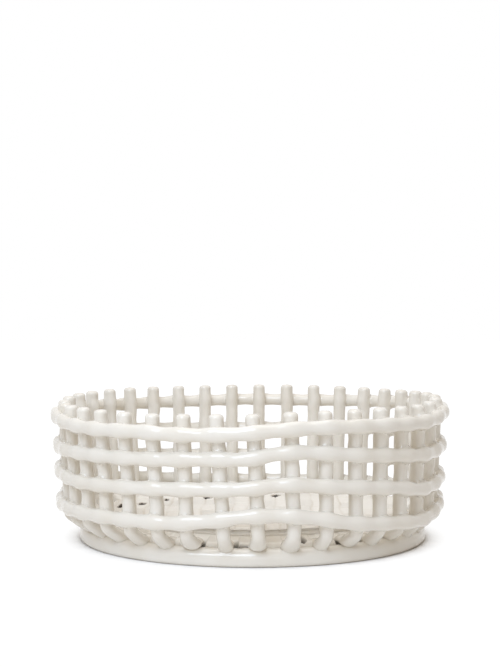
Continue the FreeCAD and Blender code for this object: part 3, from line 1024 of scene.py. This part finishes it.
def mat_scores(x, y):
    """Depth of the score marks, height of the patches, and which patches are combed."""
    chance = np.random.default_rng(7)
    sway = SEAM_SWAY * np.sin(y / (23 * MM)) + 0.5 * SEAM_SWAY * np.sin(y / (9 * MM) + 1)
    y = y + ROW_SWAY * (np.sin(x / (8.5 * MM)) + 0.6 * np.sin(x / (3.1 * MM) + y / (15 * MM)))
    column = np.searchsorted(MAT_SEAMS, x - sway)
    shift = chance.uniform(0, MAT_ROW, len(MAT_SEAMS) + 1)[column]
    row = np.floor((y + shift) / MAT_ROW).astype(int) + 6
    offset, tilt, slope, comb = chance.uniform(-1, 1, (4, len(MAT_SEAMS) + 1, 16))
    beside = (x - sway)[..., None] - MAT_SEAMS
    nearest = np.abs(beside).argmin(-1)
    off_seam = np.take_along_axis(beside, nearest[..., None], -1)[..., 0]
    within = (y + shift) % MAT_ROW - MAT_ROW / 2
    height = PATCH_STEP * offset[column, row] + PATCH_SLOPE * slope[column, row] * within
    height += PATCH_TILT * tilt[column, row] * off_seam
    patchy = 0.5 + 0.5 * np.sin(y / PATCHY_WAVE + 2.3 * nearest)
    depth = SEAM_DEPTH * (0.4 + 0.6 * patchy) * valley(off_seam, SEAM_WIDTH)
    to_row = MAT_ROW / 2 - np.abs(within)
    depth = np.maximum(depth, 0.6 * SEAM_DEPTH * valley(to_row, SEAM_WIDTH))
    stroke = (y + np.abs(off_seam) * (0.9 - 0.4 * patchy) + nearest * 3 * MM) % BARB_STEP - BARB_STEP / 2
    strength = np.clip(1 - np.abs(off_seam) / (BARB_LENGTH * (0.35 + 0.65 * patchy)), 0, 1)
    depth = np.maximum(depth, BARB_DEPTH * strength * valley(stroke, BARB_WIDTH))
    return depth, height, comb[column, row] > COMBED_OVER


def mat_holes(x, y):
    """How far inside one of the holes a point lies, from 0 to 1."""
    share = np.zeros_like(x)
    for across, back, half_width, half_length in MAT_HOLES:
        hole = oval_hole(x - across * MM, y - back * MM, half_width * MM, half_length * MM)
        share = np.maximum(share, hole)
    return share


def mat_outline(degrees):
    """Radius of the mat's edge, which wanders and reaches further out on one side."""
    wander = sum(size * np.sin(waves * np.radians(degrees) + start) for waves, start, size in MAT_WANDER)
    lean = np.exp(-(((degrees - MAT_LEAN_DEGREES) / MAT_LEAN_WIDTH) ** 2))
    return MAT_RADIUS * (MAT_FULLNESS + wander) + MAT_LEAN * lean


def mat_piece():
    line = np.linspace(-1, 1, MAT_GRID + 1)
    u, v = np.meshgrid(line, line, indexing="ij")
    x = u * np.sqrt(1 - v * v / 2)
    y = v * np.sqrt(1 - u * u / 2)
    share = np.clip(np.hypot(x, y), 1e-9, 1)
    edge = mat_outline(np.degrees(np.arctan2(x, -y)))
    x, y = x * edge, y * edge
    to_edge = np.clip((1 - share) * edge / MAT_EDGE, 0, 1)
    worn = MAT_EDGE * (1 - np.sqrt(1 - (1 - to_edge) ** 2))
    depth, height, combed = mat_scores(x, y)
    holes = mat_holes(x, y)
    top = mat_high.z + MAT_RISE
    z = top - MAT_TOP_INSET + height * to_edge - depth - worn - HOLE_DEPTH * holes
    # Inside a hole the share is raised past one, which paints the hole near black as shade.
    torn = np.clip(depth / SEAM_DEPTH, 0, 1) + np.minimum(HOLE_DARKNESS * holes, DARKEST_HOLE)
    places = np.stack([x + FOOT_AXIS, y, np.minimum(z, top)], axis=-1).reshape(-1, 3)
    number = np.arange(len(places)).reshape(x.shape)
    corners = [number[:-1, :-1], number[1:, :-1], number[1:, 1:], number[:-1, 1:]]
    faces = np.stack(corners, axis=-1).reshape(-1, 4).tolist()
    rim = np.concatenate([number[:-1, 0], number[-1, :-1], number[:0:-1, -1], number[0, :0:-1]])
    outline, rings, above = places[rim], [], rim
    middle = np.array([FOOT_AXIS, 0, 0])
    for inset, drop in MAT_SIDE:
        ring = middle + (outline - middle) * (1 - inset * MM / MAT_RADIUS)
        ring[:, 2] = top + drop * MM
        below = len(places) + len(rings) * len(rim) + np.arange(len(rim))
        faces += np.stack([below, np.roll(below, -1), np.roll(above, -1), above], axis=-1).tolist()
        rings.append(ring)
        above = below
    mesh = bpy.data.meshes.new("scored_mat")
    mesh.from_pydata(np.concatenate([places, *rings]).tolist(), [], faces + [above[::-1].tolist()])
    side = np.zeros(len(rim) * len(MAT_SIDE))
    keep(mesh, "torn", np.concatenate([torn.ravel(), side]))
    keep(mesh, "combed", np.concatenate([combed.ravel(), side]))
    mesh.shade_smooth()
    mesh.materials.append(scored_clay)
    return new_object("scored_mat", mesh)


mat = mat_piece()
print("mat:", len(mat.data.vertices), "points, volume", round(volume(mat.data) * 1e6, 1), "cubic cm")

# %% [markdown]
# Now the glaze can run. Each piece needs its neighbours as they were before any glaze, so the bare shapes
# are shared with sets of stand-ins. Hoops are grown against posts, and posts against hoops and foot.
# Some knees never joined the foot quite as well: they were made a little higher, and there the glaze leaves
# a dark crack. Afterwards the stand-ins are thrown away.

# %% Pool the glaze where pieces touch
POOL_REACH = 1.7 * MM
SMEAR = 1.0


def stand_ins(name, pieces):
    collection = bpy.data.collections.new(name)
    bpy.context.scene.collection.children.link(collection)
    for piece in pieces:
        collection.objects.link(bpy.data.objects.new("bare_" + piece.name, piece.data))
    return collection


lifted = [posts[f"post_{number:02d}"] for number in LIFTED_KNEES]
seated = [piece for piece in posts.values() if piece not in lifted]
bare_posts = stand_ins("bare_posts", posts.values())
bare_hoops = stand_ins("bare_hoops", hoops.values())
bare_rings = stand_ins("bare_rings", [*hoops.values(), foot])
bare_foot = stand_ins("bare_foot", [foot])
bare_inside = stand_ins("bare_inside", [*seated, disc])
values = {"Reach": POOL_REACH, "Smear": SMEAR, "Material": glaze}
for pieces, neighbours in ((hoops.values(), bare_posts), (seated, bare_rings), (lifted, bare_hoops)):
    for piece in pieces:
        run_tree(piece, POOLING, {**values, "Neighbours": neighbours})
for piece, neighbours, finish in ((foot, bare_inside, foot_glaze), (disc, bare_foot, floor_glaze_painted_light)):
    run_tree(piece, POOLING, {**values, "Neighbours": neighbours, "Smear": 0.0, "Material": finish})
glazed = [*hoops.values(), *posts.values(), foot, disc]
settle(glazed)
for collection in (bare_posts, bare_hoops, bare_rings, bare_foot, bare_inside):
    for thing in list(collection.objects):
        bpy.data.objects.remove(thing)
    bpy.data.collections.remove(collection)
print("glazed:", sum(len(piece.data.polygons) for piece in glazed), "faces in", len(glazed), "pieces")

# %% [markdown]
# Each dressed piece takes the place of its construction piece and rides on the one body that the kiln
# makes of them.

# %% Take the places of the construction pieces
def stands_for(piece, node):
    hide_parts(node)
    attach(piece, "root")


for name, piece in {**hoops, **posts, "foot_ring": foot, "floor_disc": disc}.items():
    stands_for(piece, name)
stands_for(mat, "floor_pad")
print("dressed:", len(glazed) + 1, "pieces")

# %% [markdown]
# Three panels and an even surround model the studio. The main panel is a large soft box, high and to the left
# of the camera, which draws the long white streaks on the upper faces of the hoops. One overhead fills the
# inside of the basket, a dim one in front reaches under the lowest hoop, and the slightly warm surround
# softens the rest. The camera, and anything glossy, sees plain white around the basket, as in a studio.

# %% Lights
SOFT_BOX = {"degrees": -21, "elevation": 42, "distance": 1.5, "size": (0.95, 0.6), "watts": 12.1}
OVERHEAD = {"degrees": 0, "elevation": 86, "distance": 1.3, "size": (1.2, 1.2), "watts": 7.4}
FRONT = {"degrees": 0, "elevation": 8, "distance": 1.8, "size": (1.2, 0.6), "watts": 1.5}
COOL_WHITE = (0.715, 0.83, 1.0)
PLAIN_WHITE = (1.0, 0.98, 0.98)
WARM_SURROUND = (0.365, 0.325, 0.275, 1)


def panel(name, colour, degrees, elevation, distance, size, watts):
    """A rectangular lamp that looks at the middle of the basket."""
    data = bpy.data.lights.new(name, "AREA")
    data.shape = "RECTANGLE"
    data.size, data.size_y = size
    data.energy = watts
    data.color = colour
    lamp = new_object(name, data)
    level = distance * math.cos(math.radians(elevation))
    lamp.location = polar(level, degrees, distance * math.sin(math.radians(elevation)))
    lamp.rotation_euler = (math.pi / 2 - math.radians(elevation), 0, math.radians(degrees))


panel("soft_box", COOL_WHITE, **SOFT_BOX)
panel("overhead", PLAIN_WHITE, **OVERHEAD)
panel("front", PLAIN_WHITE, **FRONT)


def seen_directly(tree):
    """One for rays from the camera, and for those that a gloss or a glass sends on."""
    path = add_node(tree, "ShaderNodeLightPath").outputs
    seen = maths("MAXIMUM", path["Is Camera Ray"], path["Is Glossy Ray"])
    return maths("MAXIMUM", seen, path["Is Transmission Ray"])


def blended(share, first, second):
    """Two shaders mixed by a share."""
    node = add_node(share.id_data, "ShaderNodeMixShader", {"Fac": share})
    feed(node.inputs[1], first.outputs[0])
    feed(node.inputs[2], second.outputs[0])
    return node.outputs[0]


world = bpy.data.worlds.new("studio")
world.use_nodes = True
bpy.context.scene.world = world
air = world.node_tree
surround = air.nodes["Background"]
surround.inputs["Color"].default_value = WARM_SURROUND
backdrop = add_node(air, "ShaderNodeBackground", {"Color": (1, 1, 1, 1), "Strength": 1.0})
feed(air.nodes["World Output"].inputs["Surface"], blended(seen_directly(air), surround, backdrop))
print("lights: a soft box, two panels and a warm surround")

# %% [markdown]
# The table is a sheet of pale paper. Away from the basket the camera sees it as plain white. Close to the
# foot it sees the paper itself, with the basket's own soft shadow, so the white share grows with the distance
# from the foot.

# %% The pale table
TABLE_HALF = 4.0
PAPER = (0.9, 0.895, 0.89, 1)
PAPER_ROUGHNESS = 0.9
PAPER_GLOW = 1.06
SHADOW_START = 143 * MM
SHADOW_WIDTH = 8 * MM

low, high = -TABLE_HALF, TABLE_HALF
table_mesh = bpy.data.meshes.new("table")
table_mesh.from_pydata([(low, low, 0), (high, low, 0), (high, high, 0), (low, high, 0)], [], [(0, 1, 2, 3)])
table = new_object("table", table_mesh)
paper, tree, sheet = new_material("white paper")
feed(sheet.inputs["Base Color"], PAPER)
feed(sheet.inputs["Roughness"], PAPER_ROUGHNESS)
from_axis = vectors("SUBTRACT", object_place(tree), (FOOT_AXIS, 0, 0))
away = minus(vectors("LENGTH", vectors("MULTIPLY", from_axis, (1, 1, 0))), SHADOW_START)
white = minus(1.0, maths("EXPONENT", maths("DIVIDE", maths("MAXIMUM", away, 0.0), -SHADOW_WIDTH)))
glow = add_node(tree, "ShaderNodeEmission", {"Color": (1, 1, 1, 1), "Strength": PAPER_GLOW})
shown = blended(times(seen_directly(tree), white), sheet, glow)
feed(tree.nodes["Material Output"].inputs["Surface"], shown)
table_mesh.materials.append(paper)
print("table:", 2 * TABLE_HALF, "m across")
